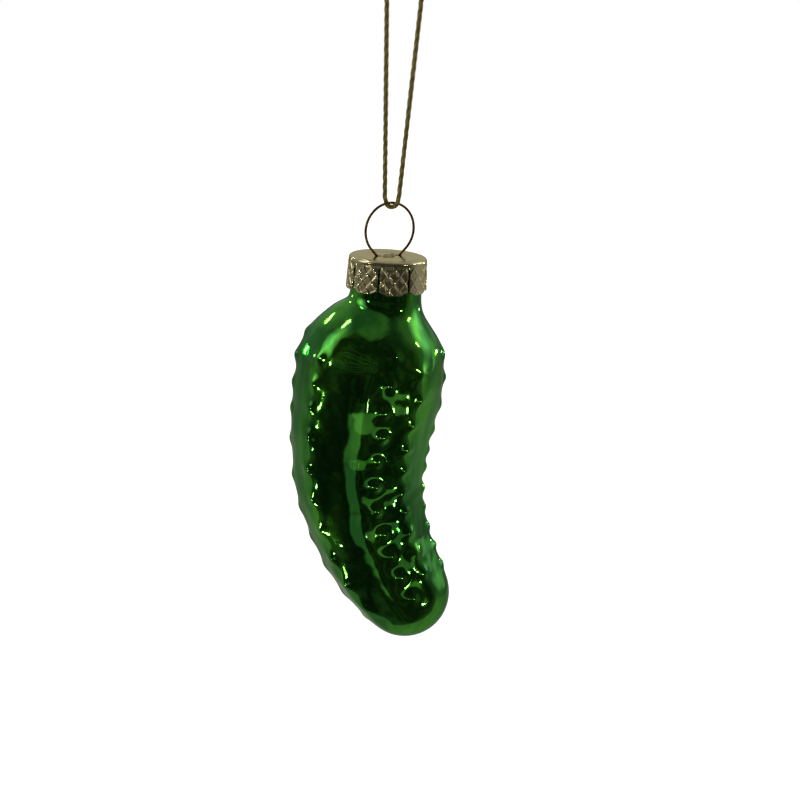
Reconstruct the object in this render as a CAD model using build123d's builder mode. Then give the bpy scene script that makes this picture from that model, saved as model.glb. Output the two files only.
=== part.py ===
"""Pickle ornament: a blown-glass pickle hung by a cap, a sprung wire loop and a cord.

Millimetres, +Z up along the neck. The origin is the hanging point, inside the top of the cord loop.
The pickle bends in the XZ plane and the camera's side is -Y.
"""
import math
import os

from build123d import *

# Cord loop
cord_diameter = 1.05
cord_sides = 6              # sides that the cord is drawn with
cord_drop = 55.0            # hanging point down to the middle of the ring's wire
cord_azimuth = -25.0        # turn of the loop's plane about Z, right strand to the front
cord_ring_half = 1.5        # half of the gap between the strands where they round the ring
cord_top_half = 4.3         # half of the gap where the loop opens widest
cord_top_drop = 5.9         # hanging point down to that widest place
cord_brow_half = 3.1        # half of the gap at the brow of the arch
cord_brow_drop = 0.7        # hanging point down to the brow
ring_gap = 0.1              # cord to ring wire, so that neither cuts the other

# Knot that closes the loop
knot_rise = 0.4             # underside of the knot above the hanging point
knot_grip = 0.6             # strands run this far into the knot
knot_wrap_radius = 0.8      # middle radius of one wrap
knot_wrap_pitch = 0.85
knot_wraps = 2
knot_strand_half = 0.5      # half of the gap between the strands inside the knot
tail_length = 7.0
tail_splay = 22.0

# Hanger wire
wire_diameter = 0.55
wire_sides = 8
ring_radius = 5.7           # middle of the wire
hanger_azimuth = 30.0       # turn of the hanger's plane about Z
leg_slope = 45.0            # legs lean in by this from the vertical above the cap
hole_offset = 2.45          # cap axis to each leg hole, at mid sheet
knee_drop = 1.3             # cap sheet down to the knee where a leg turns outward
foot_drop = 8.6             # cap sheet down to the foot, where a leg stands widest
toe_drop = 10.2
toe_tuck = 1.0              # toes turn in by this
knee_radius = 0.9
foot_radius = 1.2
leg_play = 0.25             # foot to bore wall

# Cap
cap_sheet = 0.35
cap_height = 6.9
cap_flare = 0.3             # rim radius beyond the top radius
cap_edge_bevel = 0.7
cap_play = 0.35             # skirt to neck at the top of the skirt
leg_hole_diameter = 1.4
tab_count = 8
tab_phase = 34.5            # first slit about Z
slit_width = 0.55
slit_head = 1.6             # cap top down to the slit's end
tab_notch = 0.7             # rise of the skirt's edge at each slit
tab_notch_half = 1.8
saddle_width = 1.1          # pressed-up bar between the leg holes
saddle_rise = 0.5
saddle_margin = 0.4         # bar's end to each leg hole

# Glass
neck_radius = 7.5
neck_length = 8.84
glass_wall = 1.0
lip_bevel = 0.3             # melted edges of the mouth
body_offset = -0.65         # body's middle line to the neck axis at the neck's base
body_lean = 5.9             # upper body leans to the left by this
body_arch = 0.4             # slow bend of the upper body
body_length = 27.6          # neck's base to the start of the lower bend
bend_radius = 49.9
bend_angle = 45.8           # turn of the lower body, up to the centre of the round blossom end
neck_slope = 0.25           # flare of the skin where it leaves the neck
sway_drop = 2.4             # neck's base down to where the body has left the neck axis
shoulder_drop = 3.5
shoulder_radius = 10.5
collar_drop = 7.5
collar_radius = 13.65
chest_drop = 13.0
chest_radius = 15.45
belly_drop = 20.0
belly_radius = 15.6
waist_radius = 14.95        # where the bend starts
taper_radius = 12.8         # half way round the bend
tip_radius = 9.85           # round blossom end
tip_taper = 14.0            # lean of the skin where it runs into the blossom end
tip_flat = 1.2              # radius of the flat at the very end
tip_rings = 4               # rings of the skin on the round blossom end
skin_rings = 20             # rings and sides of the skin
skin_sides = 32
hollow_rings = 16           # rings and sides of the hollow inside the glass
hollow_sides = 16

# Warts, in columns down the skin, each column half a pitch from the next
wart_columns = 8
front_turn = -17.0          # front column's turn from its even place, to the right
wart_sides = 6
wart_pitch = 5.8
wart_height = 0.5
wart_foot = 2.3             # radius of the foot, under the skin
wart_crown = 0.7            # radius of the top
wart_root = 0.3             # depth of the foot under the skin
wart_heel = 0.05            # straight edge of the foot
wart_bed = 1.0              # stretch of the skin that a wart leans with
wart_first = 9.0            # neck's base down to the first warts
wart_last = 67.0            # neck's base down to past the last warts

# Levels that follow from the sizes above
wire_radius = wire_diameter / 2
cord_radius = cord_diameter / 2
ring_level = -cord_drop - ring_radius
slope = math.radians(leg_slope)
leg_start = ring_radius * math.cos(slope)
leg_fall = ring_radius * math.sin(slope) + (leg_start - hole_offset) / math.tan(slope)
sheet_level = ring_level - leg_fall
cap_top = sheet_level + cap_sheet / 2
mouth_level = sheet_level - cap_sheet / 2
neck_base = mouth_level - neck_length
bore_radius = neck_radius - glass_wall
cap_radius = neck_radius + cap_play + cap_sheet
taper = math.radians(tip_taper)
tip_drop = body_length + bend_radius * math.radians(bend_angle)
hanger_x = (math.cos(math.radians(hanger_azimuth)), math.sin(math.radians(hanger_azimuth)), 0)
cord_x = (math.cos(math.radians(cord_azimuth)), math.sin(math.radians(cord_azimuth)), 0)


def upright(x_dir, level):
    """Upright plane through the Z axis: its x runs along x_dir, its y runs up."""
    return Plane(origin=(0, 0, level), x_dir=x_dir, z_dir=Vector(x_dir).cross(Vector(0, 0, 1)))


def corner_radii(points):
    """Radius for each corner of a route, 0.45 of the shorter run over the tangent of half the turn."""
    radii = []
    for before, corner, after in zip(points, points[1:], points[2:]):
        run_in = Vector(*corner) - Vector(*before)
        run_out = Vector(*after) - Vector(*corner)
        half_turn = math.radians(run_in.get_angle(run_out)) / 2
        radii.append(0.45 * min(run_in.length, run_out.length) / math.tan(half_turn))
    return radii


# Middle line of the pickle: a slowly arched upper body, one bend to the right, a straight end
with BuildLine(Plane.XZ) as spine:
    lean = math.radians(body_lean + body_arch / 2)
    upper = JernArc(start=(body_offset, neck_base), tangent=(-math.sin(lean), -math.cos(lean)),
                    radius=body_length / math.radians(body_arch), arc_size=body_arch)
    lower = JernArc(start=upper @ 1, tangent=upper % 1, radius=bend_radius, arc_size=bend_angle)
    Line(lower @ 1, lower @ 1 + (lower % 1) * tip_radius)
spine_wire = spine.wire()


def across(drop):
    """Plane square to the middle line, at a distance along it from the neck's base."""
    share = drop / spine_wire.length
    centre = spine_wire @ share
    sway = min(drop / sway_drop, 1.0)
    off_neck = sway * sway * (3 - 2 * sway)
    heading = Vector(0, 0, -1) * (1 - off_neck) + (spine_wire % share) * off_neck
    return Plane(origin=(centre.X * off_neck, 0, centre.Z), x_dir=(0, 1, 0), z_dir=heading)


stations = [
    (0.0, neck_radius),
    (shoulder_drop, shoulder_radius),
    (collar_drop, collar_radius),
    (chest_drop, chest_radius),
    (belly_drop, belly_radius),
    (body_length, waist_radius),
    ((body_length + tip_drop) / 2, taper_radius),
    (tip_drop + tip_radius * math.sin(taper), tip_radius * math.cos(taper)),
]
slopes = [neck_slope]
for (drop_before, before), (drop_after, after) in zip(stations, stations[2:]):
    slopes.append((after - before) / (drop_after - drop_before))
slopes.append(-math.tan(taper))


def body_radius(drop, inset):
    """Radius of the skin: one smooth curve through the stations, then the round blossom end."""
    end_radius = tip_radius - inset
    if drop > tip_drop + end_radius * math.sin(taper):
        return math.sqrt(end_radius ** 2 - (drop - tip_drop) ** 2)
    leg = max(i for i in range(len(stations) - 1) if stations[i][0] <= drop)
    (start, r_start), (end, r_end) = stations[leg], stations[leg + 1]
    span = end - start
    t = (drop - start) / span
    swell = span * (t * (1 - t) ** 2 * slopes[leg] + t * t * (t - 1) * slopes[leg + 1])
    return (1 + 2 * t) * (1 - t) ** 2 * r_start + t * t * (3 - 2 * t) * r_end + swell - inset


def ring_drops(inset, body_rings):
    """Places of the rings that make up a skin: evenly down the body, then round the blossom end."""
    end_radius = tip_radius - inset
    body_end = tip_drop + end_radius * math.sin(taper)
    drops = [body_end * ring / body_rings for ring in range(body_rings + 1)]
    last_latitude = math.acos(tip_flat / end_radius)
    for ring in range(1, tip_rings + 1):
        latitude = taper + (last_latitude - taper) * ring / tip_rings
        drops.append(tip_drop + end_radius * math.sin(latitude))
    return drops


def rings_of_corners(inset, body_rings, sides):
    """Rings of corners round the middle line, from the neck's base to the blossom end."""
    rings = []
    for drop in ring_drops(inset, body_rings):
        ring = across(drop)
        reach = body_radius(drop, inset)
        turns = [2 * math.pi * side / sides for side in range(sides)]
        corners = [(reach * math.cos(turn), reach * math.sin(turn)) for turn in turns]
        rings.append([ring.from_local_coords(corner) for corner in corners])
    return rings


def faceted(rings):
    """Closed solid with flat facets between rings of corners, and a flat end on the first and the last."""
    facets = [Face(Wire.make_polygon(rings[0])), Face(Wire.make_polygon(rings[-1]))]
    for upper, lower in zip(rings, rings[1:]):
        for side in range(len(upper)):
            facets.append(Face(Wire.make_polygon([upper[side - 1], upper[side], lower[side - 1]])))
            facets.append(Face(Wire.make_polygon([upper[side], lower[side], lower[side - 1]])))
    return Solid(Shell(facets))


def wart_plane(drop, column):
    """Plane of a wart's root, just under the skin and along it."""
    ring = across(drop)
    turn = 2 * math.pi * column / wart_columns
    if column == wart_columns // 2:
        turn += math.radians(front_turn)
    outward = ring.x_dir * math.cos(turn) + ring.y_dir * math.sin(turn)
    reach = body_radius(drop, wart_root)
    lean = (reach - body_radius(drop + wart_bed, wart_root)) / wart_bed
    return Plane(origin=ring.origin + outward * reach, x_dir=ring.z_dir - outward * lean,
                 z_dir=outward + ring.z_dir * lean)


def bent_rod(route, route_plane, radius, sides):
    """A rod along a route of straight runs and arcs that lies in one plane."""
    with BuildPart() as rod:
        for run in route:
            with BuildSketch(Plane(origin=run @ 0, x_dir=route_plane.z_dir, z_dir=run % 0)):
                RegularPolygon(radius, sides)
            if run.geom_type == GeomType.LINE:
                extrude(amount=run.length)
            else:
                turn_axis = Axis(run.arc_center, (run @ 0 - run.arc_center).cross(run % 0))
                revolve(axis=turn_axis, revolution_arc=math.degrees(run.length / run.radius))
    return rod.part


# One wart: a low six-sided stud
with BuildPart() as wart:
    with BuildSketch():
        RegularPolygon(wart_foot, wart_sides)
    extrude(amount=wart_root + wart_height)
    slant = (wart_foot - wart_crown) * math.cos(math.pi / wart_sides)
    chamfer(wart.faces().sort_by(Axis.Z)[-1].edges(), wart_root + wart_height - wart_heel, slant)

# Places of the warts
wart_planes = []
for column in range(wart_columns):
    drop = wart_first + wart_pitch / 2 * (column % 2)
    while drop < wart_last:
        wart_planes.append(wart_plane(drop, column))
        drop += wart_pitch

# Glass: one blown shell with warts from its mould, open at the neck
skin = rings_of_corners(0, skin_rings, skin_sides)
neck_rim = [corner + Vector(0, 0, neck_length) for corner in skin[0]]
with BuildPart() as glass_body:
    add(faceted([neck_rim] + skin))
    with Locations(*wart_planes):
        add(wart.part)
    add(faceted(rings_of_corners(glass_wall, hollow_rings, hollow_sides)), mode=Mode.SUBTRACT)
    with BuildSketch(Plane.XY.offset(neck_base)):
        Circle(bore_radius)
    extrude(amount=neck_length, mode=Mode.SUBTRACT)
    mouth = glass_body.faces().sort_by(Axis.Z)[-1]
    chamfer(mouth.edges(), lip_bevel)
glass_body.part.label = "glass_body"

# Cap: a flared cup of sheet metal with a pressed saddle, two leg holes and a slit, scalloped skirt
with BuildPart() as cap:
    with Locations((0, 0, cap_top - cap_height / 2)):
        Cone(cap_radius + cap_flare, cap_radius, cap_height)
    chamfer(cap.edges().sort_by(Axis.Z)[-1], cap_edge_bevel)
    offset(amount=-cap_sheet, openings=cap.faces().sort_by(Axis.Z)[0])
    saddle_plane = Plane(origin=(0, 0, cap_top), x_dir=hanger_x, z_dir=(0, 0, 1))
    with BuildSketch(saddle_plane):
        SlotOverall(2 * hole_offset - leg_hole_diameter - 2 * saddle_margin, saddle_width)
    extrude(amount=saddle_rise)
    with BuildSketch(saddle_plane):
        with Locations((-hole_offset, 0), (hole_offset, 0)):
            Circle(leg_hole_diameter / 2)
    extrude(amount=-2 * cap_sheet, mode=Mode.SUBTRACT)
    with PolarLocations(cap_radius, tab_count, start_angle=tab_phase):
        with Locations((0, 0, cap_top - slit_head - cap_height / 2)):
            Box(4 * cap_sheet + 2 * cap_flare, slit_width, cap_height, mode=Mode.SUBTRACT)
    notch_radius = (tab_notch_half ** 2 + tab_notch ** 2) / (2 * tab_notch)
    with PolarLocations(cap_radius, tab_count, start_angle=tab_phase):
        with Locations((0, 0, cap_top - cap_height + tab_notch - notch_radius)):
            Cylinder(notch_radius, 4 * cap_sheet + 2 * cap_flare, rotation=(0, 90, 0),
                     mode=Mode.SUBTRACT)
cap.part.label = "cap"

# Hanger: a round loop, legs leaning in through the cap, then springing out inside the neck
foot_half = bore_radius - wire_radius - leg_play
leg_points = [
    (leg_start, -ring_radius * math.sin(slope)),
    (hole_offset - knee_drop * math.tan(slope), -leg_fall - knee_drop),
    (foot_half, -leg_fall - foot_drop),
    (foot_half - toe_tuck, -leg_fall - toe_drop),
]
hanger_plane = upright(hanger_x, ring_level)
with BuildLine(hanger_plane) as wire_route:
    FilletPolyline(*reversed(leg_points), radius=[foot_radius, knee_radius])
    CenterArc((0, 0), ring_radius, -leg_slope, 180 + 2 * leg_slope)
    FilletPolyline(*[(-x, y) for x, y in leg_points], radius=[knee_radius, foot_radius])
with BuildPart() as hanger_wire:
    add(bent_rod(wire_route.edges(), hanger_plane, wire_radius, wire_sides))
hanger_wire.part.label = "hanger_wire"

# Cord: two straight strands, round the ring below and over the hanging point above
bight_level = -cord_drop - wire_radius - ring_gap - cord_radius
half_route = [
    (knot_strand_half, knot_rise + knot_grip),
    (cord_brow_half, -cord_brow_drop),
    (cord_top_half, -cord_top_drop),
    (cord_ring_half, bight_level),
]
cord_points = half_route + [(-x, y) for x, y in reversed(half_route)]
cord_radii = corner_radii(cord_points)
cord_plane = upright(cord_x, 0)
with BuildLine(cord_plane) as cord_route:
    FilletPolyline(*cord_points, radius=cord_radii)
route = cord_route.wire()
with BuildPart() as hanging_cord:
    add(bent_rod(route.edges(), cord_plane, cord_radius, cord_sides))
hanging_cord.part.label = "hanging_cord"

# Knot: close wraps round the two strands, and two short tails
wrap_stack = (knot_wraps - 1) * knot_wrap_pitch
with BuildPart() as cord_knot:
    with BuildSketch(Plane.XZ):
        for wrap in range(knot_wraps):
            with Locations((knot_wrap_radius, knot_rise + cord_radius + wrap * knot_wrap_pitch)):
                RegularPolygon(cord_radius, cord_sides)
        with Locations((0, knot_rise + cord_radius)):
            Rectangle(knot_wrap_radius, wrap_stack, align=Align.MIN)
    revolve(axis=Axis.Z)
    splay = math.radians(tail_splay)
    for side in (-1, 1):
        tail_way = Vector(*cord_x) * side * math.sin(splay) + Vector(0, 0, math.cos(splay))
        tail_base = Vector(*cord_x) * side * knot_strand_half + Vector(0, 0, knot_rise + wrap_stack)
        with BuildSketch(Plane(origin=tail_base, x_dir=cord_plane.z_dir, z_dir=tail_way)):
            RegularPolygon(cord_radius, cord_sides)
        extrude(amount=tail_length)
cord_knot.part.label = "cord_knot"

os.makedirs("parts", exist_ok=True)
export_step(glass_body.part, "parts/glass_body.step")
export_step(cap.part, "parts/cap.step")
export_step(hanger_wire.part, "parts/hanger_wire.step")
export_step(hanging_cord.part, "parts/hanging_cord.step")
export_step(cord_knot.part, "parts/cord_knot.step")

cord_section = cord_sides / 2 * cord_radius ** 2 * math.sin(2 * math.pi / cord_sides)
print("cord radii", [round(radius, 2) for radius in cord_radii])
print("cord length", round(route.length, 2))
print("cord volume", round(hanging_cord.part.volume, 2), "of", round(cord_section * route.length, 2))
blossom_end = glass_body.part.bounding_box().min.Z
print("ring top to blossom end", round(-cord_drop + wire_radius - blossom_end, 2))
for piece in (glass_body, cap, hanger_wire, hanging_cord, cord_knot):
    box = piece.part.bounding_box()
    print(piece.part.label, len(piece.part.solids()), round(piece.part.volume, 1), box.min, box.max)
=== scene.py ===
import math
import random

import bpy
import numpy as np
from bpy.props import FloatProperty, FloatVectorProperty, IntProperty, PointerProperty
from mathutils import Matrix, Vector


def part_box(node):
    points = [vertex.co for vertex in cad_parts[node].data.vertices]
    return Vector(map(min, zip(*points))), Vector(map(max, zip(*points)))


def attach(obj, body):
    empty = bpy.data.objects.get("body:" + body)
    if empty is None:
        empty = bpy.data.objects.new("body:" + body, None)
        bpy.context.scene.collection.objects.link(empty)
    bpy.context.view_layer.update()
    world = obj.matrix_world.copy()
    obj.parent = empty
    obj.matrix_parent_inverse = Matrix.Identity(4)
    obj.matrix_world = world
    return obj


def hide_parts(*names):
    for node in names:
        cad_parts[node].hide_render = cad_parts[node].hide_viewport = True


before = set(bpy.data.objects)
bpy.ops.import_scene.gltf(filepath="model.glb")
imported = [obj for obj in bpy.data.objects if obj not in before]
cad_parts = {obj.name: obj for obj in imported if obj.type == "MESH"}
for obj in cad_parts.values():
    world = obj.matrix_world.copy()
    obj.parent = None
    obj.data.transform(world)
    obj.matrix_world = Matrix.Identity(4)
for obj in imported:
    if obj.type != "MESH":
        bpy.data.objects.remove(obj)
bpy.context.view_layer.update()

bl_info = {
    "name": "Pickle ornament",
    "version": (1, 0, 0),
    "blender": (4, 2, 0),
    "location": "View3D > Sidebar > Ornament",
    "description": "Dresses the blown-glass pickle, its cap, wire hanger and cord",
    "category": "Object",
}

MM = 0.001

# Level of the glass's mouth, in millimetres
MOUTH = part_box("glass_body")[1].z / MM


def linear(code):
    """An sRGB hex colour as linear red, green and blue."""
    parts = [int(code[i:i + 2], 16) / 255 for i in (1, 3, 5)]
    return [c / 12.92 if c <= 0.04045 else ((c + 0.055) / 1.055) ** 2.4 for c in parts]


class OrnamentSizes(bpy.types.PropertyGroup):
    wart_height: FloatProperty(
        name="Wart height", description="How far a wart stands out of the skin",
        default=0.56 * MM, unit="LENGTH")
    wart_radius: FloatProperty(
        name="Wart radius", description="Foot of a wart, from its middle",
        default=2.2 * MM, unit="LENGTH")
    wart_pitch: FloatProperty(
        name="Wart pitch", description="From one wart to the next in a column",
        default=5.8 * MM, unit="LENGTH")
    rib_height: FloatProperty(
        name="Rib height", description="Swell of the skin along each column of warts",
        default=0.2 * MM, unit="LENGTH")
    emboss_height: FloatProperty(
        name="Emboss height", description="Depth of the diamonds pressed into the cap",
        default=0.2 * MM, unit="LENGTH")
    wire_diameter: FloatProperty(
        name="Wire diameter", description="Hanger wire",
        default=0.55 * MM, unit="LENGTH")
    cord_diameter: FloatProperty(
        name="Cord diameter", description="Over the twisted plies",
        default=1.05 * MM, unit="LENGTH")
    cord_lay: FloatProperty(
        name="Cord lay", description="Length of one full twist of the plies",
        default=6.0 * MM, unit="LENGTH")
    cord_plies: IntProperty(
        name="Cord plies", description="Yarns twisted into the cord", default=3, min=2, max=6)


class OrnamentColours(bpy.types.PropertyGroup):
    lacquer: FloatVectorProperty(
        name="Lacquer", description="Green lacquer over the silvered glass",
        subtype="COLOR", default=linear("#54b631"))
    lacquer_deep: FloatVectorProperty(
        name="Deep lacquer", description="Where the lacquer has run thick",
        subtype="COLOR", default=linear("#1f7a20"))
    cap: FloatVectorProperty(
        name="Cap", description="Champagne finish of the stamped cap",
        subtype="COLOR", default=linear("#ece3b2"))
    # Painted shade: the gilt is darkened well below the wire's own colour, standing for the dim room
    # that the wire mirrors
    wire: FloatVectorProperty(
        name="Wire", description="Gilt hanger wire",
        subtype="COLOR", default=linear("#8c6a36"))
    yarn: FloatVectorProperty(
        name="Yarn", description="Metallic yarn of the cord",
        subtype="COLOR", default=linear("#c9ba74"))
    # Painted shade: the yarn's colour darkened in the grooves between its windings
    yarn_shade: FloatVectorProperty(
        name="Yarn shade", description="Yarn between its windings",
        subtype="COLOR", default=linear("#5a5228"))


def sizes():
    return bpy.context.scene.ornament_sizes


def colours():
    return bpy.context.scene.ornament_colours


def node(tree, kind, settings=None, links=None):
    """A node with its settings; links name its inputs and the sockets that feed them."""
    made = tree.nodes.new(kind)
    for name, value in (settings or {}).items():
        if isinstance(name, str) and hasattr(made, name):
            setattr(made, name, value)
        else:
            made.inputs[name].default_value = value
    for name, socket in (links or {}).items():
        tree.links.new(socket, made.inputs[name])
    return made


def material(name, colour):
    """An empty node material that the viewport shows in a colour, and the tree that it is built in."""
    made = bpy.data.materials.new(name)
    made.use_nodes = True
    made.diffuse_color = (*colour, 1)
    made.node_tree.nodes.clear()
    return made, made.node_tree


def silvered_blown_glass():
    """Blown glass, silvered inside and dipped in green lacquer: a green mirror under a clear skin."""
    made, tree = material("silvered_blown_glass_green_lacquer", colours().lacquer)
    place = node(tree, "ShaderNodeTexCoord")
    # Runs of lacquer some 6 mm wide, drawn out down the body as it drained
    drain = node(tree, "ShaderNodeMapping", {"Scale": (1.0, 1.0, 0.3)},
                 {"Vector": place.outputs["Object"]})
    runs = node(tree, "ShaderNodeTexNoise", {"Scale": 1 / (6 * MM), "Detail": 3.0, "Roughness": 0.55},
                {"Vector": drain.outputs["Vector"]})
    spread = node(tree, "ShaderNodeMapRange", {"From Min": 0.38, "From Max": 0.62},
                  {"Value": runs.outputs["Fac"]})
    tint = node(tree, "ShaderNodeMix",
                {"data_type": "RGBA", 6: (*colours().lacquer_deep, 1), 7: (*colours().lacquer, 1)},
                {0: spread.outputs["Result"]})
    # Ripples of the blown wall, about 3 mm apart and hardly raised
    waves = node(tree, "ShaderNodeTexNoise", {"Scale": 1 / (3 * MM), "Detail": 1.0},
                 {"Vector": place.outputs["Object"]})
    wall = node(tree, "ShaderNodeBump", {"Strength": 0.5, "Distance": 0.16 * MM},
                {"Height": waves.outputs["Fac"]})
    mist = node(tree, "ShaderNodeMapRange", {"To Min": 0.05, "To Max": 0.1},
                {"Value": runs.outputs["Fac"]})
    skin = node(tree, "ShaderNodeBsdfPrincipled",
                {"Metallic": 1.0, "Specular Tint": (*linear("#a2d199"), 1), "Coat Weight": 0.55,
                 "Coat Roughness": 0.03, "Coat IOR": 1.5},
                {"Base Color": tint.outputs[2], "Roughness": mist.outputs["Result"],
                 "Normal": wall.outputs["Normal"]})
    node(tree, "ShaderNodeOutputMaterial", links={"Surface": skin.outputs["BSDF"]})
    return made


def stamped_champagne_sheet():
    """Thin sheet, champagne lacquered and stamped: satin on the flats, burnished on the raised lines,
    with painted shade in the pressed cells and painted light on the plain tab.
    """
    made, tree = material("stamped_aluminium_champagne_lacquer", colours().cap)
    place = node(tree, "ShaderNodeTexCoord")
    raised = node(tree, "ShaderNodeAttribute", {"attribute_name": "raised"})
    # Rolling grain of the sheet, drawn at 0.5 mm so that it shows
    grain = node(tree, "ShaderNodeTexNoise", {"Scale": 1 / (0.5 * MM), "Detail": 2.0},
                 {"Vector": place.outputs["Object"]})
    # Painted shade: the pressed cells get a third of the cap's colour, a shade painted into the recesses
    cells = [c * 0.33 for c in colours().cap]
    tone = node(tree, "ShaderNodeMix", {"data_type": "RGBA", 6: (*cells, 1), 7: (*colours().cap, 1)},
                {0: raised.outputs["Fac"]})
    rub = node(tree, "ShaderNodeMapRange", {"To Min": 0.36, "To Max": 0.13},
               {"Value": raised.outputs["Fac"]})
    dints = node(tree, "ShaderNodeBump", {"Strength": 0.25, "Distance": 0.04 * MM},
                 {"Height": grain.outputs["Fac"]})
    sheet = node(tree, "ShaderNodeBsdfPrincipled",
                 {"Metallic": 1.0, "Specular Tint": (*linear("#ece6ce"), 1)},
                 {"Base Color": tone.outputs[2], "Roughness": rub.outputs["Result"],
                  "Normal": dints.outputs["Normal"]})
    node(tree, "ShaderNodeOutputMaterial", links={"Surface": sheet.outputs["BSDF"]})
    return made


def drawn_gilt_wire():
    """Drawn brass wire with a gilt finish: bright, with faint die lines along it; its colour is darkened
    below gilt as painted shade for the dim room it mirrors.
    """
    made, tree = material("drawn_brass_gilt", colours().wire)
    length = node(tree, "ShaderNodeUVMap", {"uv_map": "along"})
    # Die lines run along the wire: 17 round it, which draws them 0.1 mm apart so that they show, and
    # each some 17 mm long
    lines = node(tree, "ShaderNodeMapping", {"Scale": (17.0, 60.0, 1.0)},
                 {"Vector": length.outputs["UV"]})
    score = node(tree, "ShaderNodeTexNoise", {"Scale": 1.0, "Detail": 2.0},
                 {"Vector": lines.outputs["Vector"]})
    dull = [c * 0.6 for c in colours().wire]
    worn = node(tree, "ShaderNodeMix", {"data_type": "RGBA", 6: (*dull, 1), 7: (*colours().wire, 1)},
                {0: score.outputs["Fac"]})
    gloss = node(tree, "ShaderNodeMapRange", {"To Min": 0.18, "To Max": 0.34},
                 {"Value": score.outputs["Fac"]})
    wire = node(tree, "ShaderNodeBsdfPrincipled", {"Metallic": 1.0},
                {"Base Color": worn.outputs[2], "Roughness": gloss.outputs["Result"]})
    node(tree, "ShaderNodeOutputMaterial", links={"Surface": wire.outputs["BSDF"]})
    return made


def metallic_yarn():
    """Flat metal-coated strip wound round a thread: glints on the windings, and dark olive painted shade
    in the grooves between them.
    """
    made, tree = material("wound_metallic_yarn", colours().yarn)
    length = node(tree, "ShaderNodeUVMap", {"uv_map": "along"})
    # Strip windings slant round the ply, 0.35 mm apart
    slant = node(tree, "ShaderNodeMapping", {"Scale": (1.0, 1 / (0.35 * MM), 1.0)},
                 {"Vector": length.outputs["UV"]})
    parts = node(tree, "ShaderNodeSeparateXYZ", links={"Vector": slant.outputs["Vector"]})
    climb = node(tree, "ShaderNodeMath", {"operation": "ADD"},
                 {0: parts.outputs["X"], 1: parts.outputs["Y"]})
    turn = node(tree, "ShaderNodeMath", {"operation": "FRACT"}, {0: climb.outputs["Value"]})
    ridge = node(tree, "ShaderNodeMath", {"operation": "PINGPONG", 1: 0.5}, {0: turn.outputs["Value"]})
    face = node(tree, "ShaderNodeMapRange", {"From Min": 0.06, "From Max": 0.3},
                {"Value": ridge.outputs["Value"]})
    # Painted shade darkens the yarn in the grooves between the windings
    tone = node(tree, "ShaderNodeMix",
                {"data_type": "RGBA", 6: (*colours().yarn_shade, 1), 7: (*colours().yarn, 1)},
                {0: face.outputs["Result"]})
    lift = node(tree, "ShaderNodeBump", {"Strength": 0.6, "Distance": 0.05 * MM},
                {"Height": face.outputs["Result"]})
    gloss = node(tree, "ShaderNodeMapRange", {"To Min": 0.55, "To Max": 0.3},
                 {"Value": face.outputs["Result"]})
    yarn = node(tree, "ShaderNodeBsdfPrincipled", {"Metallic": 0.9},
                {"Base Color": tone.outputs[2], "Roughness": gloss.outputs["Result"],
                 "Normal": lift.outputs["Normal"]})
    node(tree, "ShaderNodeOutputMaterial", links={"Surface": yarn.outputs["BSDF"]})
    return made


def piece(name, points, faces, finish, body, solid):
    """A mesh in millimetres, made into a piece that rides on a body and stands for a solid."""
    mesh = bpy.data.meshes.new(name)
    mesh.from_pydata([tuple(p) for p in np.asarray(points) * MM], [], faces)
    mesh.update()
    mesh.shade_smooth()
    made = bpy.data.objects.new(name, mesh)
    bpy.context.scene.collection.objects.link(made)
    mesh.materials.append(finish)
    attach(made, body)
    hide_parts(solid)
    return made


def rise(value, start, reach):
    """0 up to a start, then up to 1 over a reach."""
    return np.clip((value - start) / reach, 0, 1)


def fall(value, end, reach):
    """Down from 1 to 0 over a reach, and 0 from an end on."""
    return np.clip((end - value) / reach, 0, 1)


def turned(x, z, turn):
    """A point of an upright plane through the neck's axis, with the plane turned about that axis."""
    return (x * math.cos(turn), x * math.sin(turn), z)


def ring_faces(rows, columns, first=0):
    """Quads between rows of closed rings."""
    faces = []
    for row in range(rows - 1):
        for col in range(columns):
            a = first + row * columns + col
            b = first + row * columns + (col + 1) % columns
            faces.append((a, b, b + columns, a + columns))
    return faces


# Shape of the glass, in millimetres, which follows the solid of the part
NECK_RADIUS = 7.5
NECK_LENGTH = 8.84
NECK_SLOPE = 0.25
NECK_BASE = MOUTH - NECK_LENGTH
GLASS_WALL = 1.0
NECK_BORE = NECK_RADIUS - GLASS_WALL
LIP_ROUND = 0.3
LIP_CORNER_IN = 0.1
LIP_CORNER_DOWN = 0.09
BODY_OFFSET = -0.65
BODY_LEAN = 6.1
BODY_ARCH = 0.4
BODY_LENGTH = 27.6
BEND_RADIUS = 49.9
BEND_ANGLE = math.radians(45.8)
SWAY_DROP = 2.4
TIP_RADIUS = 9.85
TIP_TAPER = math.radians(14.0)
TIP_DROP = BODY_LENGTH + BEND_RADIUS * BEND_ANGLE
JOIN_DROP = TIP_DROP + TIP_RADIUS * math.sin(TIP_TAPER)
HOLLOW_TOP = 0.6
HOLLOW_FOOT = JOIN_DROP - 0.4
WART_COLUMNS = 8
WART_FIRST = 9.0
WART_LAST = 67.0
FRONT_COLUMN = 4
FRONT_TURN = -17.0

# Relief of the skin: its start and end down the body, each with the reach of the fade there, how far
# the skin and its ribs sink to make room for it, and the seed of its random draws
RELIEF_START = (4.0, 8.0)
RELIEF_END = (TIP_DROP + 6.0, 10.0)
SKIN_SINK = 0.08
RIB_SINK = 0.4
RELIEF_SEED = 11

# Swells of the mould, some 20 mm long: height, rate down the body, start, wander and twist round it
SWELL_HEIGHT = 0.14
SWELL_RATE = 0.31
SWELL_START = 0.7
SWELL_WANDER = 1.3
SWELL_TWIST = 0.12

# Waves of the blown wall: how many, how long, their phases, their height for each millimetre of
# length, and the radius on which whole waves are counted
WALL_WAVES = 14
WAVE_LENGTHS = (4, 12)
WAVE_PHASES = (0, 6.28)
WAVE_HEIGHT = 0.0022
WAVE_RADIUS = 14

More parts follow.
